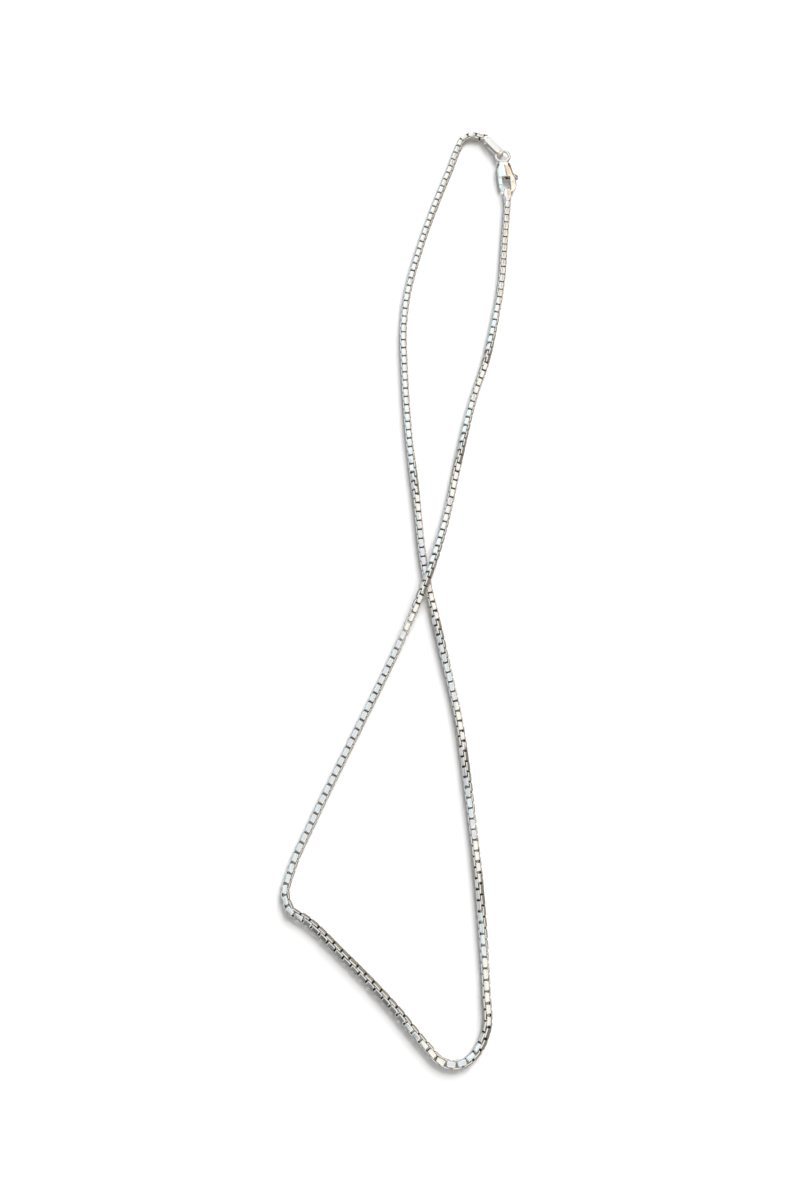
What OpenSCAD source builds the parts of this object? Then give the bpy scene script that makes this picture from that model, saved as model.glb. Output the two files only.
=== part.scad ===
// Box chain necklace, closed with a lobster clasp and lying as a figure eight.
// The row lies on the table, +Z up and +Y towards the clasp. Sizes are in millimetres.

/* [Chain] */
// Outer width of a box link, across the chain
chain_w = 2.0; // [1.6:0.1:2.4]
// Width of the strip that each link is bent from
strip_w = 1.26; // [1.0:0.02:1.4]
// Free height between the strands where the chain passes over itself
pass_gap = 0.15; // [0.1:0.05:0.4]
// Gap between the chain and the short end link, on the hook's side
short_gap = 0.15; // [0.1:0.05:0.3]
// Gap between the chain and the long end link, which lies at an angle to it
long_gap = 0.6; // [0.55:0.05:0.8]

/* [End links] */
// Height of an end link, across its loop
loop_h = 2.1; // [2.0:0.05:2.3]
// Thickness of the strip of an end link
loop_t = 0.35; // [0.3:0.01:0.4]
// Width of an end link's strip at its middle
loop_w = 2.1; // [1.8:0.1:2.4]
// Width of an end link's strip where a box link holds it
loop_neck_w = 1.2; // [1.0:0.05:1.25]
// Width of the short end link where it goes round the hook
loop_hook_w = 1.8; // [1.4:0.05:1.85]
// Length of the short end link, on the hook's side
short_loop_len = 4.2; // [3.8:0.1:4.6]
// Roll of the long end link about its own length, in degrees
long_loop_roll = 0; // [-15:1:15]

/* [Clasp] */
// Length of the clasp from the eye to the foot of the hook
clasp_len = 15.7; // [15:0.1:17]
// Width of the clasp over the hook
clasp_w = 5.3; // [5.0:0.1:5.8]
// Thickness of the clasp at its crown
clasp_t = 2.5; // [2.4:0.1:3.0]
// Thickness of the wire of the eye
eye_wire = 0.88; // [0.8:0.02:1.0]
// Outer diameter of the eye
eye_d = 4.9; // [4.6:0.1:5.2]
// Width of the opening inside the hook
mouth_w = 2.4; // [2.1:0.05:2.5]
// Length of the opening inside the hook
mouth_len = 4.5; // [4.2:0.1:4.7]
// Thickness of the hook at its foot
rim = 0.75; // [0.6:0.05:0.9]
// Turn of the clasp on the table, in degrees
clasp_turn = 5; // [0:1:12]

/* [Lever] */
// Thickness of the lever inside the clasp
lever_t = 1.1; // [0.9:0.05:1.2]
// Running gap on each side of the lever
lever_gap = 0.1; // [0.08:0.01:0.15]
// Diameter of the pin that the lever turns on
pin_d = 0.9; // [0.8:0.05:1.0]
// Gap between the pin and the lever's bore, on the radius
pin_play = 0.05; // [0.03:0.01:0.08]
// Radius of the lever round its pin
hub_r = 1.3; // [1.2:0.05:1.4]
// Width of the thumb tab
tab_w = 0.9; // [0.7:0.05:1.0]
// Reach of the thumb tab from the pin
tab_reach = 3.95; // [3.85:0.05:4.15]

/* [Hidden] */
silver = [0.86, 0.86, 0.84];
bright_silver = [0.93, 0.93, 0.92];
eps = 0.5;

// Middle line of the chain on the table, from the hook's end link round to the eye's: x, y.
ROUTE = [
    [26.5, 106.0], [25.5, 92.5], [24.5, 78.5], [22.5, 65.5], [20.0, 53.0], [16.5, 41.0], [12.5, 22.5],
    [9.5, 6.5], [6.0, -7.5], [2.5, -18.0], [-4.0, -33.5], [-15.0, -58.0], [-23.0, -76.0], [-27.5, -87.5],
    [-28.5, -93.0], [-27.0, -96.5], [-23.5, -98.5], [-14.5, -106.0], [-1.5, -118.0], [5.5, -125.5],
    [9.5, -129.0], [12.0, -129.5], [14.5, -129.0], [18.0, -125.5], [19.5, -122.0], [19.5, -113.5],
    [18.5, -97.0], [15.5, -69.0], [12.5, -48.5], [8.0, -29.0], [3.5, -9.0], [1.0, 11.0], [-1.5, 31.0],
    [-3.0, 50.5], [-3.5, 60.5], [-3.0, 70.5], [1.0, 90.5], [6.0, 107.5], [9.5, 118.0], [11.5, 124.5],
    [13.0, 128.0], [15.5, 129.5], [19.5, 129.0]
];
// Twist of the chain about its own line: distance from the hook's end link, degrees.
TWIST = [
    [0, 0], [32, 0], [43, 14], [49, 26], [53, 45], [57, 65], [67, 90], [78, 115], [84, 136],
    [89, 156], [100, 178], [110, 190], [116, 205], [122, 225], [128, 245], [136, 264], [146, 270],
    [200, 270], [210, 282], [217, 295], [224, 310], [232, 317], [240, 308], [246, 296], [256, 280],
    [262, 266], [268, 247], [272, 226], [276, 205], [287, 180], [293, 168], [299, 154], [304, 135],
    [309, 116], [320, 90], [331, 66], [336, 47], [342, 25], [354, 0], [361, -12], [367, -25],
    [372, -46], [376, -64], [383, -84], [395, -89], [404, -82], [409, -67], [413, -45], [417, -26],
    [422, -11], [432, -1], [442, 0], [538, 0]
];
// Where the chain passes over itself, and the strand beneath: distances from the hook's end link.
over_at = 122;
under_at = 387;
// Half the flat top of the hump there, and half its whole length.
hump_flat = 5;
hump_run = 24;
// Distance over which the chain comes down from each end link to the table.
short_ramp = 10;
long_ramp = 22;
// Longest distance between two rings of the chain's solid.
ring_step = 6;
SIDES = 8;
SUBSTEPS = 12;

last = len(ROUTE) - 1;
half_w = chain_w / 2;
half_s = strip_w / 2;
// Outline of the chain's solid: the box links' two crossed rectangles, drawn round.
OCTAGON = [
    [half_w, half_s], [half_s, half_w], [-half_s, half_w], [-half_w, half_s],
    [-half_w, -half_s], [-half_s, -half_w], [half_s, -half_w], [half_w, -half_s]
];

// Heights of the middle lines: the short end link's, the clasp's, and the long end link's at
// the clasp and at the chain.
short_loop_z = max(chain_w, loop_h) / 2;
axis_z = clasp_t / 2;
long_loop_z_eye = axis_z;
long_loop_z_chain = short_loop_z;

function smooth(t) = let (c = min(max(t, 0), 1)) c * c * (3 - 2 * c);
function total(v, k = 0) = k < len(v) ? v[k] + total(v, k + 1) : 0;
function rest_height(roll) =
    max([for (p = OCTAGON) p.x * cos(roll) - p.y * sin(roll)]);

// The curve through the points of the route, and the distance along it.
function chord(i) = norm(ROUTE[i + 1] - ROUTE[i]);
function lead(i) =
    i == 0 ? (ROUTE[1] - ROUTE[0]) / chord(0) :
    i == last ? (ROUTE[last] - ROUTE[last - 1]) / chord(last - 1) :
    let (a = chord(i - 1), b = chord(i))
    ((ROUTE[i] - ROUTE[i - 1]) * b / a + (ROUTE[i + 1] - ROUTE[i]) * a / b) / (a + b);
function place(i, u) =
    (2 * u * u * u - 3 * u * u + 1) * ROUTE[i]
    + (u * u * u - 2 * u * u + u) * chord(i) * lead(i)
    + (3 * u * u - 2 * u * u * u) * ROUTE[i + 1]
    + (u * u * u - u * u) * chord(i) * lead(i + 1);
SPANS = [for (i = [0 : last - 1])
    total([for (k = [1 : SUBSTEPS]) norm(place(i, k / SUBSTEPS) - place(i, (k - 1) / SUBSTEPS))])];
function travel(i, u) = u * SPANS[i] + (i > 0 ? total([for (k = [0 : i - 1]) SPANS[k]]) : 0);
chain_len = total(SPANS);
function slope(t, k) =
    k == 0 || k == len(t) - 1 ? 0 : (t[k + 1][1] - t[k - 1][1]) / (t[k + 1][0] - t[k - 1][0]);
function curve_at(t, s, k = 0) =
    s >= t[len(t) - 1][0] ? t[len(t) - 1][1] :
    s > t[k + 1][0] ? curve_at(t, s, k + 1) :
    let (d = t[k + 1][0] - t[k][0], u = max((s - t[k][0]) / d, 0))
    (2 * u * u * u - 3 * u * u + 1) * t[k][1] + (u * u * u - 2 * u * u + u) * d * slope(t, k)
    + (3 * u * u - 2 * u * u * u) * t[k + 1][1] + (u * u * u - u * u) * d * slope(t, k + 1);
function roll_at(s) = curve_at(TWIST, s);

// Height of the chain's middle line: it rests on the table, passes over itself in a long hump,
// and rises to its end links.
pass_lift = 2 * rest_height(roll_at(under_at)) + pass_gap;
short_lift = short_loop_z - rest_height(roll_at(0));
long_lift = long_loop_z_chain - rest_height(roll_at(chain_len));
function lift_at(s) =
    pass_lift * smooth((hump_run - abs(s - over_at)) / (hump_run - hump_flat))
    + short_lift * smooth(1 - s / short_ramp)
    + long_lift * smooth(1 - (chain_len - s) / long_ramp);
function chain_point(i, u) =
    let (p = place(i, u), s = travel(i, u)) [p.x, p.y, rest_height(roll_at(s)) + lift_at(s)];

// Rings of the chain's solid: a span number and a share of it.
STATIONS = concat(
    [[0, short_gap / chord(0)]],
    [for (i = [0 : last - 1]) let (n = ceil(chord(i) / ring_step))
        for (k = [0 : n - 1]) if (i + k > 0) [i, k / n]],
    [[last - 1, 1 - long_gap / chord(last - 1)]]
);
function unit(v) = v / norm(v);
function ring(i, u) =
    let (
        du = 0.04,
        along = unit(chain_point(i, min(u + du, 1)) - chain_point(i, max(u - du, 0))),
        up = unit([0, 0, 1] - along.z * along),
        roll = roll_at(travel(i, u)),
        n = up * cos(roll) + cross(along, up) * sin(roll),
        b = cross(along, n),
        c = chain_point(i, u)
    )
    [for (p = OCTAGON) c + n * p.x + b * p.y];

// A closed solid through rings of as many corners each.
module loft(rings) {
    n = len(rings[0]);
    m = len(rings);
    polyhedron(
        points = [for (r = rings) each r],
        faces = concat(
            [[for (k = [0 : n - 1]) k]],
            [for (j = [0 : m - 2]) for (k = [0 : n - 1])
                each [
                    [j * n + k, (j + 1) * n + (k + 1) % n, j * n + (k + 1) % n],
                    [j * n + k, (j + 1) * n + k, (j + 1) * n + (k + 1) % n]
                ]],
            [[for (k = [n - 1 : -1 : 0]) (m - 1) * n + k]]
        )
    );
}

module chain() {
    color(silver) loft([for (s = STATIONS) ring(s[0], s[1])]);
}

// Where the end links and the clasp lie.
chain_start = ROUTE[0];
chain_end = ROUTE[last];
short_loop_turn = 92;
// Play of the short end link inside the hook, and its place across the opening.
hook_play = 0.12;
mouth_x = 0.2;
function turned(v, a) = [v.x * cos(a) - v.y * sin(a), v.x * sin(a) + v.y * cos(a)];
hook_seat = chain_start + turned([short_loop_len, 0], short_loop_turn);
clasp_foot = hook_seat - turned([mouth_x, rim + hook_play + loop_t], clasp_turn);
eye_centre = [0, clasp_len - eye_d / 2];
eye_place = clasp_foot + turned(eye_centre, clasp_turn);
// The long end link spans from the chain's end to the eye, and stops this far from its centre.
eye_stop = 0.3;
eye_way = unit(chain_end - eye_place);
long_loop_end = eye_place + eye_stop * eye_way;
long_loop_run = norm(long_loop_end - chain_end);
long_loop_rise = long_loop_z_eye - long_loop_z_chain;
long_loop_len = norm([long_loop_run, long_loop_rise]);
long_loop_turn = atan2(-eye_way.y, -eye_way.x);

// A link of flat strip, from the chain at x = 0 to the clasp, its loop standing up.
loop_taper_from = 0.75;
loop_taper_to = 1.6;
loop_corner = 0.7;
module loop_outline(length, height, corner) {
    for (x = [corner, length - corner])
        for (y = [corner - height / 2, height / 2 - corner])
            translate([x, y]) circle(r = corner, $fn = 40);
    translate([corner, -height / 2]) square([length - 2 * corner, height]);
    translate([0, corner - height / 2]) square([length, height - 2 * corner]);
}
module end_link(length, far_w) {
    intersection() {
        rotate([90, 0, 0]) translate([0, 0, -loop_w / 2])
            linear_extrude(loop_w) difference() {
                loop_outline(length, loop_h, loop_corner);
                translate([loop_t, 0])
                    loop_outline(length - 2 * loop_t, loop_h - 2 * loop_t, loop_corner - loop_t);
            }
        translate([0, 0, -loop_h])
            linear_extrude(2 * loop_h) polygon([
                [-eps, -loop_neck_w / 2], [loop_taper_from, -loop_neck_w / 2],
                [loop_taper_to, -loop_w / 2], [length - loop_taper_to, -loop_w / 2],
                [length - loop_taper_from, -far_w / 2], [length + eps, -far_w / 2],
                [length + eps, far_w / 2], [length - loop_taper_from, far_w / 2],
                [length - loop_taper_to, loop_w / 2], [loop_taper_to, loop_w / 2],
                [loop_taper_from, loop_neck_w / 2], [-eps, loop_neck_w / 2]
            ]);
    }
}
module short_end_link() {
    color(bright_silver)
        translate([chain_start.x, chain_start.y, short_loop_z]) rotate([0, 0, short_loop_turn])
            end_link(short_loop_len, loop_hook_w);
}
module long_end_link() {
    color(bright_silver)
        translate([chain_end.x, chain_end.y, long_loop_z_chain]) rotate([0, 0, long_loop_turn])
            rotate([0, -asin(long_loop_rise / long_loop_len), 0]) rotate([long_loop_roll, 0, 0])
                end_link(long_loop_len, loop_neck_w);
}

// The clasp in its own frame: y from the foot of the hook to the eye, x to the hook's back,
// z from its middle plane.
// Sections of the clasp: share of its body's length, shares of its width to the left and the
// right of its line, and the share of its thickness above the middle plane.
SECTIONS = [
    [0.004, 0.00, 0.19, 0.08], [0.04, 0.18, 0.37, 0.12], [0.10, 0.31, 0.50, 0.15],
    [0.16, 0.38, 0.56, 0.21], [0.24, 0.40, 0.59, 0.28], [0.35, 0.41, 0.59, 0.32],
    [0.42, 0.42, 0.58, 0.37], [0.48, 0.42, 0.56, 0.46], [0.57, 0.43, 0.52, 0.49],
    [0.71, 0.43, 0.47, 0.50], [0.84, 0.41, 0.42, 0.45], [0.93, 0.35, 0.35, 0.35],
    [0.97, 0.25, 0.25, 0.27], [1.00, 0.14, 0.14, 0.18]
];
// How square a section of the clasp is: 2 is an ellipse.
squareness = 2.4;
SECTION_SIDES = 20;
function column(c) = [for (r = SECTIONS) [r[0], r[c]]];
LEFT = column(1);
RIGHT = column(2);
THICK = column(3);
function bent(v) = sign(v) * pow(abs(v), 2 / squareness);
body_len = clasp_len - eye_d + 0.45 * eye_wire;
function clasp_ring(share) =
    let (
        l = clasp_w * curve_at(LEFT, share),
        r = clasp_w * curve_at(RIGHT, share),
        h = clasp_t * curve_at(THICK, share)
    )
    [for (k = [0 : SECTION_SIDES - 1]) let (a = -360 * k / SECTION_SIDES)
        [(r - l) / 2 + (r + l) / 2 * bent(cos(a)), body_len * share, h * bent(sin(a))]];
module clasp_form() {
    loft([for (j = [0 : len(SECTIONS) - 2]) for (u = j == 0 ? [0, 0.5, 1] : [0.5, 1])
        clasp_ring(SECTIONS[j][0] * (1 - u) + SECTIONS[j + 1][0] * u)]);
}
module eye() {
    translate(eye_centre)
        rotate_extrude($fn = 64) translate([(eye_d - eye_wire) / 2, 0]) circle(d = eye_wire, $fn = 32);
}

// The opening inside the hook, with rounded corners.
mouth_r = 0.4;
mouth_top = rim + mouth_len;
module mouth() {
    left = mouth_x - mouth_w / 2;
    translate([0, 0, -clasp_t]) linear_extrude(2 * clasp_t) {
        translate([left + mouth_r, rim]) square([mouth_w - 2 * mouth_r, mouth_len]);
        translate([left, rim + mouth_r]) square([mouth_w, mouth_len - mouth_r]);
        for (x = [left + mouth_r, left + mouth_w - mouth_r])
            translate([x, rim + mouth_r]) circle(r = mouth_r, $fn = 32);
    }
}

// The pin, the lever's tip and the tab, in the clasp's frame.
pivot = [0.6, 0.715 * body_len];
tip_r = pivot.y - rim - 0.35 * mouth_len;
tip_gap = 0.1;
tab_angle = -43;
bore_d = pin_d + 0.04;
slot_t = lever_t + 2 * lever_gap;
arm_in = mouth_x - mouth_w / 2;
arm_seam = 0.06;
module plate(thickness) {
    translate([0, 0, -thickness / 2]) linear_extrude(thickness) children();
}
module round_pivot(r, h) {
    translate([pivot.x, pivot.y, -h / 2]) cylinder(r = r, h = h, $fn = 64);
}
// The gap that the lever's arm closes, between the hook's tip and the clasp's cheeks.
module gate() {
    intersection() {
        round_pivot(tip_r + tip_gap, 2 * clasp_t);
        plate(2 * clasp_t) polygon([
            [-clasp_w, 0], [arm_in + 0.1, 0], [arm_in + 0.1, mouth_top], [-clasp_w, mouth_top]
        ]);
    }
}
// The slot between the cheeks, in which the lever turns.
module slot() {
    plate(slot_t) polygon([
        [-clasp_w, mouth_top - 0.3], [clasp_w, mouth_top - 0.3], [clasp_w, pivot.y],
        [pivot.x + hub_r + 0.1, pivot.y + hub_r + 0.1], [pivot.x - hub_r, pivot.y + hub_r + 0.1],
        [-clasp_w, pivot.y + 0.7]
    ]);
    plate(slot_t) translate(pivot) rotate(tab_angle) translate([0, -tab_w / 2 - lever_gap])
        square([tab_reach + tab_w, tab_w + 2 * lever_gap]);
}
module in_clasp() {
    translate([clasp_foot.x, clasp_foot.y, axis_z]) rotate([0, 0, clasp_turn]) children();
}
module clasp_body() {
    color(bright_silver) in_clasp() difference() {
        union() {
            clasp_form();
            eye();
        }
        mouth();
        gate();
        slot();
        round_pivot(bore_d / 2, 2 * clasp_t);
    }
}

// The lever: an arm that closes the hook, a plate in the slot, and a thumb tab.
module lever_arm() {
    intersection() {
        round_pivot(tip_r, 2 * clasp_t);
        plate(2 * clasp_t) polygon([
            [-clasp_w, 0], [arm_in, 0], [arm_in, mouth_top - arm_seam],
            [-clasp_w, mouth_top - arm_seam]
        ]);
    }
}
module lever_plate() {
    plate(lever_t) polygon([
        [-clasp_w, mouth_top - 0.6], [arm_in, mouth_top - 0.6], [arm_in + 0.3, mouth_top + 0.4],
        [pivot.x + 0.6, pivot.y - hub_r + 0.1], pivot, [pivot.x - 0.4, pivot.y + hub_r - 0.1],
        [-clasp_w / 3, pivot.y + 0.75], [-clasp_w, pivot.y + 0.3]
    ]);
    round_pivot(hub_r, lever_t);
}
module lever_tab() {
    plate(lever_t) translate(pivot) rotate(tab_angle) {
        translate([0, -tab_w / 2]) square([tab_reach, tab_w]);
        translate([tab_reach, 0]) circle(d = tab_w, $fn = 32);
    }
}
module clasp_lever() {
    color(silver) in_clasp() difference() {
        union() {
            intersection() {
                clasp_form();
                union() {
                    lever_arm();
                    lever_plate();
                }
            }
            lever_tab();
        }
        round_pivot(pin_d / 2 + pin_play, 2 * clasp_t);
    }
}

// The riveted pin, just below the clasp's two crowns.
pin_sink = 0.05;
module clasp_pin() {
    color(silver) in_clasp() round_pivot(pin_d / 2, clasp_t - 2 * pin_sink);
}

chain();
short_end_link();
long_end_link();
clasp_body();
clasp_lever();
clasp_pin();
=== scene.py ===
import math
import bpy
import numpy as np
from mathutils import Matrix, Vector


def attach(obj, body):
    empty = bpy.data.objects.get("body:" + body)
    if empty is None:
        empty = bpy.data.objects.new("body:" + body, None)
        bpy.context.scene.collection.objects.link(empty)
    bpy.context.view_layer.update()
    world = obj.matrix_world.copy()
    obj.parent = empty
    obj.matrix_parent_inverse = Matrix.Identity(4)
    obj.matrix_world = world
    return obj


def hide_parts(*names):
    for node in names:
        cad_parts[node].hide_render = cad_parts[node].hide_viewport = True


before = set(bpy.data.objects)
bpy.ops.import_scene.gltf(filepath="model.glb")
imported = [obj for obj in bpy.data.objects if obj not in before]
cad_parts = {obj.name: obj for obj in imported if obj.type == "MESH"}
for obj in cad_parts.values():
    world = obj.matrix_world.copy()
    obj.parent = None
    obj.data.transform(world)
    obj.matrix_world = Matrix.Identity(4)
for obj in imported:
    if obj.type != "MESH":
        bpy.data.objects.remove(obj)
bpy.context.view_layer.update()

# The camera looks down on the laid-out chain from in front of its lower end: place in metres,
# pitch in degrees below level, roll in radians, focal length in pixels of the frame
CAMERA_AT = (-0.0027, -0.0985, 0.2575)
CAMERA_PITCH = 72.67
CAMERA_ROLL = 0.0231
CAMERA_FOCAL_PIXELS = 1030.1
FRAME_HEIGHT_PIXELS = 1200
SENSOR_HEIGHT = 36
NEAREST_SEEN, FARTHEST_SEEN = 0.005, 20


def make_camera():
    pitch = math.radians(CAMERA_PITCH)
    ahead = Vector((0, math.cos(pitch), -math.sin(pitch)))
    across = Vector((1, 0, 0))
    below = Vector((0, -math.sin(pitch), -math.cos(pitch)))
    right = math.cos(CAMERA_ROLL) * across - math.sin(CAMERA_ROLL) * below
    down = math.sin(CAMERA_ROLL) * across + math.cos(CAMERA_ROLL) * below
    camera_data = bpy.data.cameras.new("camera")
    camera_data.sensor_fit = "VERTICAL"
    camera_data.sensor_height = SENSOR_HEIGHT
    camera_data.lens = CAMERA_FOCAL_PIXELS * SENSOR_HEIGHT / FRAME_HEIGHT_PIXELS
    camera_data.clip_start = NEAREST_SEEN
    camera_data.clip_end = FARTHEST_SEEN
    holder = bpy.data.objects.new("camera", camera_data)
    holder.matrix_world = Matrix((
        (right.x, -down.x, -ahead.x, CAMERA_AT[0]),
        (right.y, -down.y, -ahead.y, CAMERA_AT[1]),
        (right.z, -down.z, -ahead.z, CAMERA_AT[2]),
        (0, 0, 0, 1),
    ))
    bpy.context.scene.collection.objects.link(holder)
    return holder


camera = make_camera()
bpy.context.scene.camera = camera

# Points that the chain's centre line passes through, from the hook's end link round to the
# eye's, in metres
ROUTE = np.array([
    (0.0265, 0.1060), (0.0255, 0.0925), (0.0245, 0.0785), (0.0225, 0.0655), (0.0200, 0.0530),
    (0.0165, 0.0410), (0.0125, 0.0225), (0.0095, 0.0065), (0.0060, -0.0075), (0.0025, -0.0180),
    (-0.0040, -0.0335), (-0.0150, -0.0580), (-0.0230, -0.0760), (-0.0275, -0.0875),
    (-0.0285, -0.0930), (-0.0270, -0.0965), (-0.0235, -0.0985), (-0.0145, -0.1060),
    (-0.0015, -0.1180), (0.0055, -0.1255), (0.0095, -0.1290), (0.0120, -0.1295),
    (0.0145, -0.1290), (0.0180, -0.1255), (0.0195, -0.1220), (0.0195, -0.1135),
    (0.0185, -0.0970), (0.0155, -0.0690), (0.0125, -0.0485), (0.0080, -0.0290),
    (0.0035, -0.0090), (0.0010, 0.0110), (-0.0015, 0.0310), (-0.0030, 0.0505),
    (-0.0035, 0.0605), (-0.0030, 0.0705), (0.0010, 0.0905), (0.0060, 0.1075),
    (0.0095, 0.1180), (0.0115, 0.1245), (0.0130, 0.1280), (0.0155, 0.1295), (0.0195, 0.1290),
])
# Distance along the chain in metres and its twist there in degrees
TWIST = np.array([
    (0.000, 0), (0.032, 0), (0.043, 14), (0.049, 26), (0.053, 45), (0.057, 65), (0.067, 90),
    (0.078, 115), (0.084, 136), (0.089, 156), (0.100, 178), (0.110, 190), (0.116, 205),
    (0.122, 225), (0.128, 245), (0.136, 264), (0.146, 270), (0.200, 270), (0.210, 282),
    (0.217, 295), (0.224, 310), (0.232, 317), (0.240, 308), (0.246, 296), (0.256, 280),
    (0.262, 266), (0.268, 247), (0.272, 226), (0.276, 205), (0.287, 180), (0.293, 168),
    (0.299, 154), (0.304, 135), (0.309, 116), (0.320, 90), (0.331, 66), (0.336, 47), (0.342, 25),
    (0.354, 0), (0.361, -12), (0.367, -25), (0.372, -46), (0.376, -64), (0.383, -84), (0.395, -89),
    (0.404, -82), (0.409, -67), (0.413, -45), (0.417, -26), (0.422, -11), (0.432, -1), (0.442, 0),
    (0.538, 0),
])
# Outer width of the chain, and width of the strip that it rests on
CHAIN_WIDTH = 0.0020
STRIP_WIDTH = 0.00126
# Straight steps in which each span of the route is measured
STEPS = 12
# Where the chain passes over itself, and the strand beneath: distances along the chain
OVER_AT, UNDER_AT = 0.122, 0.387
# Half the flat top of the hump there, half its whole length, and the free height under it
HUMP_FLAT, HUMP_RUN = 0.005, 0.024
PASS_GAP = 0.00015
# Distance over which the chain comes down from each end link to the table
SHORT_RAMP, LONG_RAMP = 0.010, 0.022
# Height of the middle of an end link where the chain holds it
END_HEIGHT = 0.00105
# How far to each side of a place the chain's direction is read
LOOK_AROUND = 0.0004


def blend(u, start, start_slope, end, end_slope):
    """The cubic from start to end with those slopes, at the share u of the way."""
    return (
        (2 * u**3 - 3 * u**2 + 1) * start
        + (u**3 - 2 * u**2 + u) * start_slope
        + (3 * u**2 - 2 * u**3) * end
        + (u**3 - u**2) * end_slope
    )


def chord(i):
    return np.linalg.norm(ROUTE[i + 1] - ROUTE[i])


def lead(i):
    """The route's direction at one of its points."""
    if i == 0:
        return (ROUTE[1] - ROUTE[0]) / chord(0)
    if i == len(ROUTE) - 1:
        return (ROUTE[-1] - ROUTE[-2]) / chord(i - 1)
    a, b = chord(i - 1), chord(i)
    return ((ROUTE[i] - ROUTE[i - 1]) * b / a + (ROUTE[i + 1] - ROUTE[i]) * a / b) / (a + b)


def place(i, u):
    """A point of the smooth curve between two route points."""
    return blend(u, ROUTE[i], chord(i) * lead(i), ROUTE[i + 1], chord(i) * lead(i + 1))


SPANS = [
    sum(np.linalg.norm(place(i, k / STEPS) - place(i, (k - 1) / STEPS)) for k in range(1, STEPS + 1))
    for i in range(len(ROUTE) - 1)
]
STARTS = np.concatenate(([0], np.cumsum(SPANS)))
CHAIN_LENGTH = STARTS[-1]


def slope(table, k):
    if k in (0, len(table) - 1):
        return 0.0
    return (table[k + 1][1] - table[k - 1][1]) / (table[k + 1][0] - table[k - 1][0])


def curve_at(table, s):
    """The value at s on a smooth curve through a table of places and values."""
    if s >= table[-1][0]:
        return table[-1][1]
    k = max(int(np.searchsorted(table[:, 0], s)) - 1, 0)
    step = table[k + 1][0] - table[k][0]
    u = max((s - table[k][0]) / step, 0)
    return blend(u, table[k][1], step * slope(table, k), table[k + 1][1], step * slope(table, k + 1))


def twist_at(s):
    return curve_at(TWIST, s)


def rest_height(twist):
    """How high the chain's centre lies when it rests on the surface at that twist."""
    a, b = CHAIN_WIDTH / 2, STRIP_WIDTH / 2
    cosine, sine = math.cos(math.radians(twist)), math.sin(math.radians(twist))
    return max(abs(x * cosine) + abs(y * sine) for x, y in ((a, b), (b, a)))


def smooth(v):
    """A rise from 0 to 1 that starts and ends softly."""
    v = min(max(v, 0), 1)
    return v * v * (3 - 2 * v)


PASS_LIFT = 2 * rest_height(twist_at(UNDER_AT)) + PASS_GAP
SHORT_LIFT = END_HEIGHT - rest_height(twist_at(0))
LONG_LIFT = END_HEIGHT - rest_height(twist_at(CHAIN_LENGTH))


def lift_at(s):
    """How far the chain is held above its rest on the table."""
    return (
        PASS_LIFT * smooth((HUMP_RUN - abs(s - OVER_AT)) / (HUMP_RUN - HUMP_FLAT))
        + SHORT_LIFT * smooth(1 - s / SHORT_RAMP)
        + LONG_LIFT * smooth(1 - (CHAIN_LENGTH - s) / LONG_RAMP)
    )


def centre_at(s):
    i = min(max(int(np.searchsorted(STARTS, s)) - 1, 0), len(SPANS) - 1)
    x, y = place(i, (s - STARTS[i]) / SPANS[i])
    return np.array((x, y, rest_height(twist_at(s)) + lift_at(s)))


def axes_at(s):
    """The chain's centre, its direction, its turned upright and its turned side at s."""
    before = centre_at(max(s - LOOK_AROUND, 0))
    after = centre_at(min(s + LOOK_AROUND, CHAIN_LENGTH))
    along = (after - before) / np.linalg.norm(after - before)
    up = np.array((0, 0, 1)) - along[2] * along
    up /= np.linalg.norm(up)
    turn = math.radians(twist_at(s))
    up = up * math.cos(turn) + np.cross(along, up) * math.sin(turn)
    return centre_at(s), along, up, np.cross(along, up)


# One link is a nearly square ring of flat strip
STRIP_THICKNESS = 0.00033
LINK_WIDTH = 0.00130
LINK_LENGTH = 0.00224
# Rounding of the strip's outer edges, through it and across it, and of its inner edges
OUTER_EDGE = (0.00015, 0.00028)
INNER_EDGE = 0.00008
# Radius of the middle of the strip at a link's four bends
BEND_RADIUS = 0.00018
EDGE_POINTS, BEND_POINTS = 3, 4
# Distance from link to link, and how far the first and last links stand past the route's ends
LINK_STEP = 0.001275
END_SPILL = 0.00008
# How far a link may lean in its neighbours about its three axes, in degrees
LOOSENESS = (2.0, 2.2, 0.7)
LEAN_SEED = 5
# How squarely a face of the strip looks in or out, and a bar of the link to its ends
FACES_SQUARELY, BAR_FACES_END = 0.5, 0.8
# Corners of a rectangle: side in x, side in y, direction in degrees where the corner starts
CORNERS = ((1, 1, 0), (-1, 1, 90), (-1, -1, 180), (1, -1, 270))


def rounded(half_x, half_y, radius, points, outer=None):
    """Points and outward directions round a rectangle, with other corners at its high x."""
    found = []
    for x, y, start in CORNERS:
        reach_x, reach_y = outer if outer and x > 0 else (radius, radius)
        for j in range(points):
            angle = math.radians(start + 90 * j / (points - 1))
            out_x, out_y = math.cos(angle), math.sin(angle)
            found.append((
                x * (half_x - reach_x) + reach_x * out_x,
                y * (half_y - reach_y) + reach_y * out_y,
                out_x,
                out_y,
            ))
    return found


def ring_faces(around, section):
    """Faces of a closed ring, from its points round the ring and round its section."""
    return [
        (i * section + j, (i + 1) % around * section + j,
         (i + 1) % around * section + (j + 1) % section, i * section + (j + 1) % section)
        for i in range(around) for j in range(section)
    ]


def shade_smooth(mesh):
    mesh.polygons.foreach_set("use_smooth", [True] * len(mesh.polygons))


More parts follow.
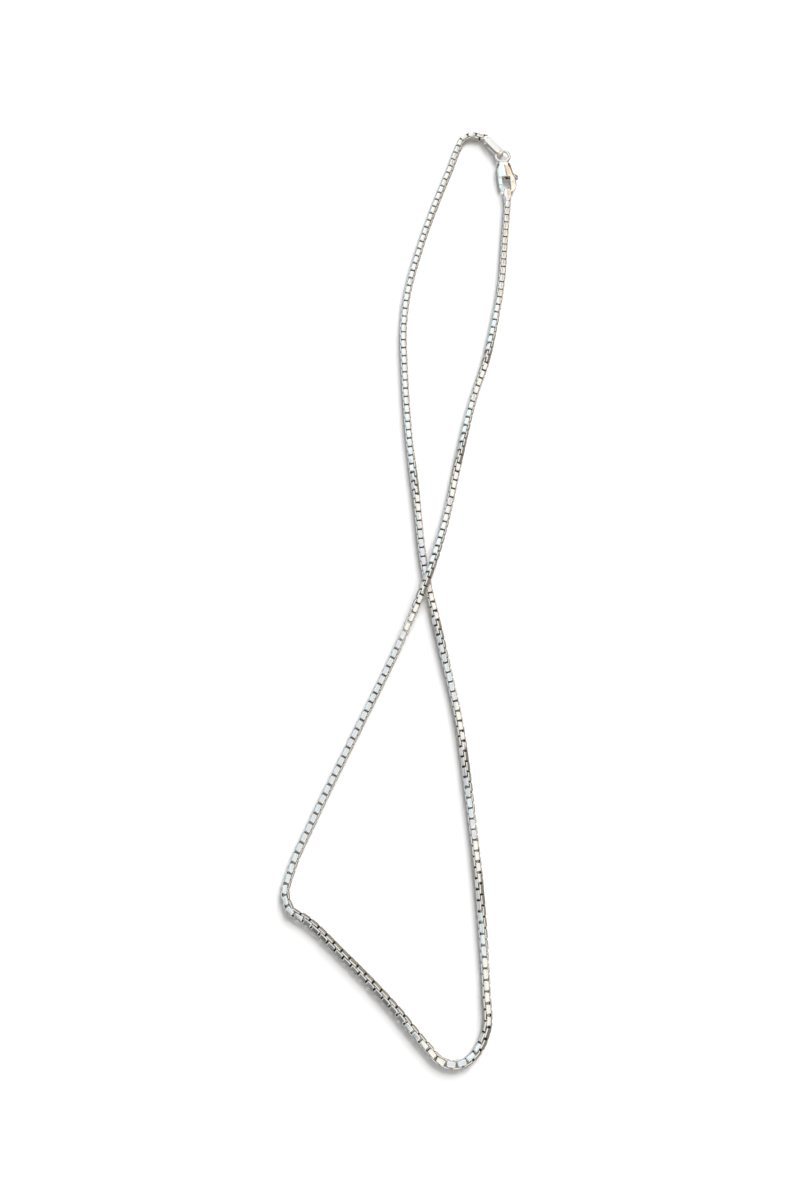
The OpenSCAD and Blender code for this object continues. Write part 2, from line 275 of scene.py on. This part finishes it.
def lean(axes, chance):
    """A link's three axes, turned a little at random."""
    x, y, z = axes
    for turn in np.radians(chance.uniform(-1, 1, 3) * LOOSENESS):
        x, y = x * math.cos(turn) + y * math.sin(turn), y * math.cos(turn) - x * math.sin(turn)
        x, y, z = y, z, x
    return x, y, z


def make_links():
    """The chain's links, each through its neighbours and turned a quarter turn from them."""
    strip = rounded(STRIP_THICKNESS / 2, LINK_WIDTH / 2, INNER_EDGE, EDGE_POINTS, OUTER_EDGE)
    half_length = (LINK_LENGTH - STRIP_THICKNESS) / 2
    half_width = (CHAIN_WIDTH - STRIP_THICKNESS) / 2
    bend = rounded(half_length, half_width, BEND_RADIUS, BEND_POINTS)
    ring = np.array([(x + nx * d, y + ny * d, w) for x, y, nx, ny in bend for d, w, _, _ in strip])
    around, section = len(bend), len(strip)
    faces = np.array(ring_faces(around, section))
    # Inner faces, and the outer faces of a link's end bars, lie in the shade inside the chain, so
    # they get the near-black silver of painted shade
    facing = [(strip[j][2], strip[(j + 1) % section][2]) for j in range(section)]
    inner = [max(pair) < -FACES_SQUARELY for pair in facing]
    outer = [min(pair) > FACES_SQUARELY for pair in facing]
    lying = [(bend[i][2] ** 2, bend[(i + 1) % around][2] ** 2) for i in range(around)]
    end = [min(pair) > BAR_FACES_END for pair in lying]
    shaded = [int(inner[j] or (end[i] and outer[j])) for i in range(around) for j in range(section)]
    # The steps are even in number, so that the chain ends on the kind of link it starts with
    reach = CHAIN_LENGTH + 2 * END_SPILL
    steps = 2 * round(reach / LINK_STEP / 2)
    chance = np.random.default_rng(LEAN_SEED)
    points, polygons = [], []
    for number in range(steps + 1):
        s = number * reach / steps - END_SPILL
        held = min(max(s, 0), CHAIN_LENGTH)
        centre, along, up, side = axes_at(held)
        centre = centre + along * (s - held)
        axes = (along, side, up) if number % 2 == 0 else (along, up, -side)
        x, y, z = lean(axes, chance)
        link = centre + ring[:, :1] * x + ring[:, 1:2] * y + ring[:, 2:] * z
        link[:, 2] += max(-link[:, 2].min(), 0)
        points.append(link)
        polygons.append(faces + len(ring) * number)
    mesh = bpy.data.meshes.new("chain_links")
    mesh.from_pydata(np.concatenate(points).tolist(), [], np.concatenate(polygons).tolist())
    mesh.polygons.foreach_set("material_index", shaded * (steps + 1))
    shade_smooth(mesh)
    return mesh


def turned(x, y, degrees):
    angle = math.radians(degrees)
    return np.array((
        x * math.cos(angle) - y * math.sin(angle),
        x * math.sin(angle) + y * math.cos(angle),
    ))


# End links: strip thickness, height of the loop, width of the strip at its middle
LOOP_THICKNESS, LOOP_HEIGHT, LOOP_WIDTH = 0.00035, 0.0021, 0.0021
# Width of the strip where a box link or the eye holds it, and where it goes round the hook
LOOP_NECK, LOOP_AT_HOOK = 0.0012, 0.0018
# Radius of the loop's corners, and of the edges of its strip
LOOP_CORNER, LOOP_EDGE = 0.0007, 0.00011
LOOP_CORNER_POINTS, LOOP_EDGE_POINTS = 7, 4
# Lengths that each long side of a loop is divided into
LOOP_SIDE_STEPS = 24
# Where the strip begins to widen and where it is full, from either end
TAPER_FROM, TAPER_TO = 0.00075, 0.0016
# Length of the short end link, and its direction on the table in degrees
SHORT_LENGTH, SHORT_TURN = 0.0042, 92
# Turn of the clasp on the table in degrees, and its sizes
CLASP_TURN, CLASP_WIDTH, CLASP_THICKNESS = 5, 0.0053, 0.0025
CLASP_LENGTH, EYE_DIAMETER, EYE_WIRE = 0.0157, 0.0049, 0.00088
# Share of the eye's wire that the clasp's body covers
EYE_COVER = 0.45
# Thickness of the hook's foot, free play of the short end link in it, and place of its opening
RIM, HOOK_PLAY, MOUTH_X = 0.00075, 0.00012, 0.0002
# How far past the eye's middle the long end link reaches
EYE_STOP = 0.0003
BODY_LENGTH = CLASP_LENGTH - EYE_DIAMETER + EYE_COVER * EYE_WIRE
CLASP_HEIGHT = CLASP_THICKNESS / 2
HOOK_SEAT = ROUTE[0] + turned(SHORT_LENGTH, 0, SHORT_TURN)
CLASP_FOOT = HOOK_SEAT - turned(MOUTH_X, RIM + HOOK_PLAY + LOOP_THICKNESS, CLASP_TURN)
EYE_PLACE = CLASP_FOOT + turned(0, CLASP_LENGTH - EYE_DIAMETER / 2, CLASP_TURN)
EYE_WAY = (ROUTE[-1] - EYE_PLACE) / np.linalg.norm(ROUTE[-1] - EYE_PLACE)
SHORT_START = np.array((*ROUTE[0], END_HEIGHT))
SHORT_ALONG = np.array((*turned(SHORT_LENGTH, 0, SHORT_TURN), 0))
LONG_START = np.array((*ROUTE[-1], END_HEIGHT))
LONG_END = np.array((*(EYE_PLACE + EYE_STOP * EYE_WAY), CLASP_HEIGHT))


def make_end_link(name, start, along, far_width):
    """A long ring of flat strip, standing on edge, that narrows at both ends."""
    length = np.linalg.norm(along)
    along = along / length
    side = np.cross((0, 0, 1), along)
    side /= np.linalg.norm(side)
    up = np.cross(along, side)
    half = LOOP_THICKNESS / 2
    half_length, half_height = length / 2 - half, LOOP_HEIGHT / 2 - half
    outline = rounded(half_length, half_height, LOOP_CORNER - half, LOOP_CORNER_POINTS)
    stops = (0, LOOP_CORNER, TAPER_FROM, TAPER_TO, length - TAPER_TO, length - TAPER_FROM, length)
    spans = (LOOP_NECK, LOOP_NECK, LOOP_NECK, LOOP_WIDTH, LOOP_WIDTH, far_width, far_width)
    path = []
    for i, (x, y, nx, ny) in enumerate(outline):
        path.append((x, y, nx, ny))
        next_x = outline[(i + 1) % len(outline)][0]
        if abs(next_x - x) > length / 3:
            for u in np.linspace(0, 1, LOOP_SIDE_STEPS + 1)[1:-1]:
                path.append((x + u * (next_x - x), y, nx, ny))
    points = []
    for x, y, nx, ny in path:
        width = np.interp(x + length / 2, stops, spans)
        for d, w, _, _ in rounded(half, width / 2, LOOP_EDGE, LOOP_EDGE_POINTS):
            points.append(start + along * (x + nx * d + length / 2) + up * (y + ny * d) + side * w)
    mesh = bpy.data.meshes.new(name)
    section = len(CORNERS) * LOOP_EDGE_POINTS
    mesh.from_pydata([tuple(v) for v in points], [], ring_faces(len(path), section))
    shade_smooth(mesh)
    return mesh


# Sections of the clasp: share of its body's length, shares of its width to the left and to the
# right of its line, and the share of its thickness above its middle
SECTIONS = np.array([
    (0.004, 0.00, 0.19, 0.08), (0.04, 0.18, 0.37, 0.12), (0.10, 0.31, 0.50, 0.15),
    (0.16, 0.38, 0.56, 0.21), (0.24, 0.40, 0.59, 0.28), (0.35, 0.41, 0.59, 0.32),
    (0.42, 0.42, 0.58, 0.37), (0.48, 0.42, 0.56, 0.46), (0.57, 0.43, 0.52, 0.49),
    (0.71, 0.43, 0.47, 0.50), (0.84, 0.41, 0.42, 0.45), (0.93, 0.35, 0.35, 0.35),
    (0.97, 0.25, 0.25, 0.27), (1.00, 0.14, 0.14, 0.18),
])
SQUARENESS = 2.4
CROWN_STEPS = 500
SHARES = np.linspace(SECTIONS[0][0], 1, CROWN_STEPS)
LEFT, RIGHT, THICK = (
    np.array([curve_at(SECTIONS[:, (0, k)], v) for v in SHARES]) for k in (1, 2, 3)
)
# A point counts as skin by its reach, which is 1 on the crown itself: a little from SKIN_FROM on,
# fully once SKIN_FADE past it, and no more beyond SKIN_TO
SKIN_FROM, SKIN_FADE, SKIN_TO = 0.84, 0.06, 1.1
# Shares of the body's length between which its skin is crowned
SKIN_FIRST, SKIN_LAST = 0.03, 0.965


def crowned(points):
    """Points near the clasp's skin, brought onto its smooth crown."""
    x, y = turned(points[:, 0] - CLASP_FOOT[0], points[:, 1] - CLASP_FOOT[1], -CLASP_TURN)
    z = points[:, 2] - CLASP_HEIGHT
    share = y / BODY_LENGTH
    left = CLASP_WIDTH * np.interp(share, SHARES, LEFT)
    right = CLASP_WIDTH * np.interp(share, SHARES, RIGHT)
    high = CLASP_THICKNESS * np.interp(share, SHARES, THICK)
    middle, wide = (right - left) / 2, (right + left) / 2
    reach = (np.abs(x - middle) / wide) ** SQUARENESS + (np.abs(z) / high) ** SQUARENESS
    on_body = (share > SKIN_FIRST) * (share < SKIN_LAST)
    near = np.clip((reach - SKIN_FROM) / SKIN_FADE, 0, 1) * (reach < SKIN_TO) * on_body
    grow = 1 + near * (np.maximum(reach, SKIN_FROM) ** (-1 / SQUARENESS) - 1)
    x, y = turned(middle + (x - middle) * grow, y, CLASP_TURN)
    return np.stack((x + CLASP_FOOT[0], y + CLASP_FOOT[1], z * grow + CLASP_HEIGHT), axis=1)


# Millimetres in a metre
MILLIMETRES = 1000
# How far one pass of polishing moves a point towards its neighbours' middle, as a share
POLISH_STRENGTH = 0.5


def make_polished(name, grain, passes):
    """A node's own form with its edges and faces rounded by polishing.

    It is worked in millimetres, the unit of the grain, and its skin is crowned at the end.
    """
    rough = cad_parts[name].data.copy()
    rough.transform(Matrix.Scale(MILLIMETRES, 4))
    blank = bpy.data.objects.new("blank", rough)
    bpy.context.scene.collection.objects.link(blank)
    even = blank.modifiers.new("even", "REMESH")
    even.mode = "VOXEL"
    even.voxel_size = grain
    soft = blank.modifiers.new("soft", "SMOOTH")
    soft.factor = POLISH_STRENGTH
    soft.iterations = passes
    mesh = bpy.data.meshes.new_from_object(blank.evaluated_get(bpy.context.evaluated_depsgraph_get()))
    bpy.data.objects.remove(blank)
    mesh.transform(Matrix.Scale(1 / MILLIMETRES, 4))
    mesh.name = name
    mesh.materials.clear()
    points = np.empty(3 * len(mesh.vertices))
    mesh.vertices.foreach_get("co", points)
    mesh.vertices.foreach_set("co", crowned(points.reshape(-1, 3)).ravel())
    shade_smooth(mesh)
    return mesh


def add_piece(name, mesh, slot, node, *materials):
    """A piece that stands for a node, with its materials. Its slot is not used."""
    for material in materials:
        mesh.materials.append(material)
    piece = bpy.data.objects.new(name, mesh)
    bpy.context.scene.collection.objects.link(piece)
    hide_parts(node)
    return piece


def keep_faces_flat(piece):
    """Shades flat faces flat and narrow rounded edges round."""
    flat = piece.modifiers.new("flat_faces", "WEIGHTED_NORMAL")
    flat.keep_sharp = False
    flat.weight = 80


def new_material(name):
    """A material, its tree of nodes and its shader."""
    material = bpy.data.materials.new(name)
    material.use_nodes = True
    tree = material.node_tree
    return material, tree, tree.nodes["Principled BSDF"]


def vary_roughness(tree, shader, noise, lowest, highest):
    gloss = tree.nodes.new("ShaderNodeMapRange")
    gloss.inputs["To Min"].default_value = lowest
    gloss.inputs["To Max"].default_value = highest
    tree.links.new(noise.outputs["Fac"], gloss.inputs["Value"])
    tree.links.new(gloss.outputs["Result"], shader.inputs["Roughness"])


# Brightness of the duller spots of silver, as a share, and the range of its roughness
DULL_SPOTS = 0.93
GLOSS_LOW, GLOSS_HIGH = 0.6, 1.4
# Layers of detail in its clouds, and how many times finer its ripple is
CLOUD_DETAIL = 4
RIPPLE_FINENESS = 2


def silver(name, colour, rough, grain, depth):
    """Polished silver with a faint unevenness of colour, gloss and surface."""
    material, tree, shader = new_material(name)
    shader.inputs["Metallic"].default_value = 1
    place_of = tree.nodes.new("ShaderNodeTexCoord")
    cloud = tree.nodes.new("ShaderNodeTexNoise")
    cloud.inputs["Scale"].default_value = grain
    cloud.inputs["Detail"].default_value = CLOUD_DETAIL
    tree.links.new(place_of.outputs["Object"], cloud.inputs["Vector"])
    tint = tree.nodes.new("ShaderNodeMixRGB")
    tint.inputs["Color1"].default_value = (*[c * DULL_SPOTS for c in colour], 1)
    tint.inputs["Color2"].default_value = (*colour, 1)
    tree.links.new(cloud.outputs["Fac"], tint.inputs["Fac"])
    tree.links.new(tint.outputs["Color"], shader.inputs["Base Color"])
    vary_roughness(tree, shader, cloud, rough * GLOSS_LOW, rough * GLOSS_HIGH)
    ripple = tree.nodes.new("ShaderNodeTexNoise")
    ripple.inputs["Scale"].default_value = grain * RIPPLE_FINENESS
    tree.links.new(place_of.outputs["Object"], ripple.inputs["Vector"])
    relief = tree.nodes.new("ShaderNodeBump")
    relief.inputs["Strength"].default_value = 1
    relief.inputs["Distance"].default_value = depth
    tree.links.new(ripple.outputs["Fac"], relief.inputs["Height"])
    tree.links.new(relief.outputs["Normal"], shader.inputs["Normal"])
    return material


BRIGHT = silver("bright_silver", (0.95, 0.94, 0.93), rough=0.16, grain=500, depth=0.000002)
# Painted shade: a near-black copy of the silver, put on the faces that lie in the shade inside the
# chain
SHADED = silver("shaded_silver", (0.085, 0.072, 0.056), rough=0.45, grain=500, depth=0.000002)
LOOP_SILVER = silver("loop_silver", (0.96, 0.95, 0.94), rough=0.14, grain=400, depth=0.000004)
CAST_SILVER = silver("cast_silver", (0.96, 0.95, 0.94), rough=0.08, grain=250, depth=0.000003)

chain = add_piece("chain_links", make_links(), "chain_silver", "chain", BRIGHT, SHADED)
keep_faces_flat(chain)
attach(chain, "necklace")

short_mesh = make_end_link("short_loop", SHORT_START, SHORT_ALONG, LOOP_AT_HOOK)
short_loop = add_piece("short_loop", short_mesh, "link_silver", "short_end_link", LOOP_SILVER)
keep_faces_flat(short_loop)
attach(short_loop, "necklace")

long_mesh = make_end_link("long_loop", LONG_START, LONG_END - LONG_START, LOOP_NECK)
long_loop = add_piece("long_loop", long_mesh, "link_silver", "long_end_link", LOOP_SILVER)
keep_faces_flat(long_loop)
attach(long_loop, "necklace")

# Pieces of the clasp: node, body, grain of the worked mesh in millimetres, passes of polishing
CLASP_PIECES = (
    ("clasp_body", "necklace", 0.06, 10),
    ("clasp_lever", "lever", 0.06, 8),
    ("clasp_pin", "necklace", 0.05, 12),
)
for node, body, grain, passes in CLASP_PIECES:
    mesh = make_polished(node, grain, passes)
    piece = add_piece("polished_" + node, mesh, "clasp_silver", node, CAST_SILVER)
    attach(piece, body)

WHITE = (1, 1, 1)
PAPER_COLOUR = (0.9, 0.9, 0.9, 1)
PAPER_ROUGHNESS = (0.85, 0.95)
PAPER_FIBRES = 900
SURROUNDINGS = (0.11, 0.105, 0.10, 1)


def white_paper():
    """Dull white paper with a fine unevenness of gloss."""
    material, tree, shader = new_material("white_paper")
    shader.inputs["Base Color"].default_value = PAPER_COLOUR
    fibres = tree.nodes.new("ShaderNodeTexNoise")
    fibres.inputs["Scale"].default_value = PAPER_FIBRES
    vary_roughness(tree, shader, fibres, *PAPER_ROUGHNESS)
    return material


# A pale surface under the chain, flat to this radius, that sweeps up beyond it
FLOOR_SIZE, FLOOR_CELLS = 16, 48
FLAT_RADIUS, SWEEP = 4, 0.25
bpy.ops.mesh.primitive_grid_add(
    x_subdivisions=FLOOR_CELLS, y_subdivisions=FLOOR_CELLS, size=FLOOR_SIZE
)
floor = bpy.context.object
floor.name = "floor"
for v in floor.data.vertices:
    v.co.z = SWEEP * max(math.hypot(v.co.x, v.co.y) - FLAT_RADIUS, 0) ** 2
shade_smooth(floor.data)
floor.data.materials.append(white_paper())
floor.visible_glossy = False

world = bpy.data.worlds.new("studio")
bpy.context.scene.world = world
world.use_nodes = True
backdrop = world.node_tree.nodes["Background"]
backdrop.inputs["Color"].default_value = SURROUNDINGS
backdrop.inputs["Strength"].default_value = 1


def light(name, at, towards, size, radiance, colour, on_metal):
    """A soft panel. It shows in the metal, or it lights the paper."""
    lamp = bpy.data.lights.new(name, "AREA")
    lamp.shape = "RECTANGLE"
    lamp.size, lamp.size_y = size
    lamp.energy = radiance * math.pi * size[0] * size[1]
    lamp.color = colour
    holder = bpy.data.objects.new(name, lamp)
    holder.location = at
    holder.rotation_euler = Vector(towards).to_track_quat("-Z", "Y").to_euler()
    holder.visible_glossy = on_metal
    holder.visible_diffuse = not on_metal
    bpy.context.scene.collection.objects.link(holder)


# Panels overhead that show in the metal: lowest and highest x, lowest and highest y, radiance, colour
OVERHEAD_HEIGHT = 1
OVERHEAD = (
    ("dusk", -2.40, -0.56, -1.8, -0.62, 0.13, (0.84, 0.95, 1.0)),
    ("pale_south", -0.56, -0.33, -1.8, -0.70, 0.85, (0.84, 0.94, 1.0)),
    ("blue_grey", -0.56, -0.33, -0.70, -0.50, 0.32, (0.80, 0.92, 1.0)),
    ("cream", -0.33, 0.22, -1.8, -0.30, 0.97, (1.0, 0.96, 0.84)),
    ("near_cream", -0.13, 0.22, -0.30, -0.13, 0.97, (1.0, 0.96, 0.84)),
    ("far_west", -2.40, -1.10, -0.62, 0.45, 0.62, (0.82, 0.92, 1.0)),
    ("near_west", -1.10, -0.70, -0.62, 0.45, 0.80, (0.88, 0.98, 1.0)),
    ("slate", -0.70, -0.55, -0.62, 0.45, 0.62, (0.78, 0.88, 1.0)),
    ("mint", -0.55, -0.34, -0.50, 0.45, 0.95, (0.84, 1.0, 0.99)),
    ("lilac", -0.34, -0.25, -0.30, 0.45, 0.74, (0.78, 0.86, 1.0)),
    ("cyan", -0.25, -0.13, -0.30, 0.45, 0.92, (0.78, 0.97, 1.0)),
    ("middle_west", -0.13, -0.02, -0.13, 0.45, 0.83, (0.76, 0.84, 1.0)),
    ("middle", -0.02, 0.22, -0.13, 0.45, 0.84, (0.88, 0.92, 1.0)),
    ("east", 0.25, 0.65, -1.8, 0.45, 1.02, (1.0, 0.98, 0.84)),
    ("far_east", 0.65, 1.60, -1.8, 0.45, 0.92, (1.0, 0.95, 0.86)),
    ("far_north_west", -2.40, -1.10, 0.45, 1.9, 1.05, (0.84, 0.94, 1.0)),
    ("north_west", -1.10, -0.13, 0.45, 1.9, 1.07, (0.76, 0.93, 1.0)),
    ("north_middle", -0.13, 0.135, 0.45, 1.9, 1.0, (0.96, 0.98, 1.0)),
    ("north_east", 0.18, 0.80, 0.45, 0.83, 0.98, (1.0, 0.93, 0.82)),
    ("amber", 0.18, 0.80, 0.83, 1.9, 0.92, (1.0, 0.77, 0.49)),
    ("far_north_east", 0.80, 2.40, 0.45, 1.9, 1.02, (1.0, 0.92, 0.88)),
)
for name, west, east, south, north, radiance, colour in OVERHEAD:
    at = ((west + east) / 2, (south + north) / 2, OVERHEAD_HEIGHT)
    light(name, at, (0, 0, -1), (east - west, north - south), radiance, colour, on_metal=True)

# Panels round and below the chain that show in the metal: place, direction, size, radiance, colour
WALLS = (
    ("north_wall", (0, 2.6, 0.8), (0, -1, 0), (1.8, 1.6), 1.0, WHITE),
    ("south_wall", (0, -2.6, 0.8), (0, 1, 0), (1.8, 1.6), 1.0, WHITE),
    ("underneath", (0, 0, -0.5), (0, 0, 1), (2.6, 2.6), 0.22, (1, 0.90, 0.76)),
    ("west_wall", (-2.8, 0, -0.2), (1, 0, 0), (5.2, 2.4), 0.55, (0.90, 0.96, 1.0)),
    ("east_wall", (2.8, 0, -0.2), (-1, 0, 0), (5.2, 2.4), 0.15, (1.0, 0.84, 0.56)),
    ("south_west_wall", (-2.9, -3.1, -0.2), (1, 1, 0), (2.4, 2.4), 0.15, (0.84, 0.96, 1.0)),
    ("north_east_wall", (2.9, 3.1, -0.2), (-1, -1, 0), (2.4, 2.4), 0.20, (1.0, 0.94, 0.68)),
)
for name, at, towards, size, radiance, colour in WALLS:
    light(name, at, towards, size, radiance, colour, on_metal=True)

# Lamps that light the paper and face the middle of the chain: place, size, radiance
LAMPS = (
    ("side_light", (2.37, 4.45, 3.94), (4.4, 4.4), 10.9),
    ("over_light", (0.5, 0.3, 3.0), (1.2, 1.2), 2.75),
)
for name, at, size, radiance in LAMPS:
    light(name, at, -Vector(at), size, radiance, WHITE, on_metal=False)

# The far paper is lit from four panels that turn away from the chain
WASH_DISTANCE, WASH_HEIGHT = 5, 2.5
WASH_OUTWARD, WASH_DOWNWARD = 0.6, 0.8
WASH_SIZE, WASH_RADIANCE = (6, 2), 2.2
WASHES = (("north_wash", 0, 1), ("east_wash", 1, 0), ("south_wash", 0, -1), ("west_wash", -1, 0))
for name, x, y in WASHES:
    at = (WASH_DISTANCE * x, WASH_DISTANCE * y, WASH_HEIGHT)
    towards = (WASH_OUTWARD * x, WASH_OUTWARD * y, -WASH_DOWNWARD)
    light(name, at, towards, WASH_SIZE, WASH_RADIANCE, WHITE, on_metal=False)

bpy.context.scene.view_settings.view_transform = "Standard"
